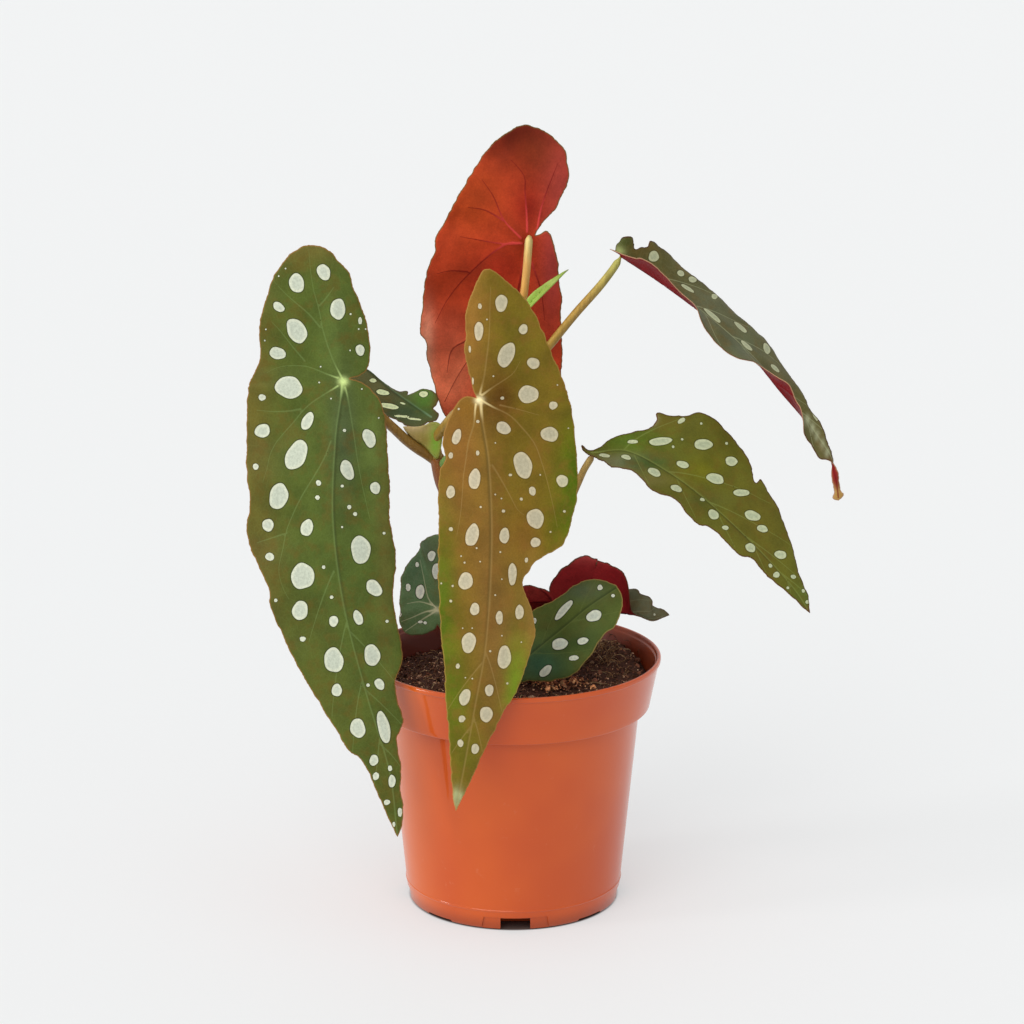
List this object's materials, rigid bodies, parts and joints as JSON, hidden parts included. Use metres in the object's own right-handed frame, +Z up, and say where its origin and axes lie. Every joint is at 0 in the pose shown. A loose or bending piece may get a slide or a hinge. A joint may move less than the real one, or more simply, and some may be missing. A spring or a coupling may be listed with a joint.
{
  "type": "potted polka dot begonia",
  "caption": "Cane begonia with long lobed leaves, dotted with white above and red below, in a round plastic nursery pot of soil.",
  "frame": {"origin": "middle of the flat floor under the pot, on the surface that the pot stands on", "axes": "+Z up along the pot's axis; -Y towards the side that the plant shows; +X to the right seen from there"},
  "size_m": [0.2366, 0.1305, 0.3173],
  "materials": {
    "pot": "moulded terracotta orange, soft sheen",
    "soil": "crumbly peat and bark mix",
    "cane": "smooth green-brown to red-brown bark",
    "stalk": "fleshy, satin, tan to reddish",
    "leaf_green": "satin leaf, pale dots, red underside",
    "leaf_olive": "satin leaf lit from behind, cream dots, red underside",
    "leaf_dark_green": "glossy dark leaf, pale dots, red underside",
    "leaf_red": "satin red underside with darker veins",
    "bract": "thin, satin, pale green to tan"
  },
  "bodies": {
    "root": {"pot": "pot", "soil": "soil", "cane_left": "cane", "cane_right": "cane", "leaf_left": "leaf_green", "stalk_left": "stalk", "leaf_front": "leaf_olive", "stalk_front": "stalk", "leaf_back": "leaf_red", "stalk_back": "stalk", "leaf_upper_right": "leaf_dark_green", "stalk_upper_right": "stalk", "leaf_lower_right": "leaf_green", "stalk_lower_right": "stalk", "leaf_behind_left": "leaf_dark_green", "stalk_behind_left": "stalk", "leaf_low_left": "leaf_dark_green", "stalk_low_left": "stalk", "leaf_low_front": "leaf_dark_green", "stalk_low_front": "stalk", "leaf_low_right": "leaf_red", "stalk_low_right": "stalk", "sheath_left": "bract", "bract_top": "bract", "bud_left": "bract"}
  },
  "joints": []
}
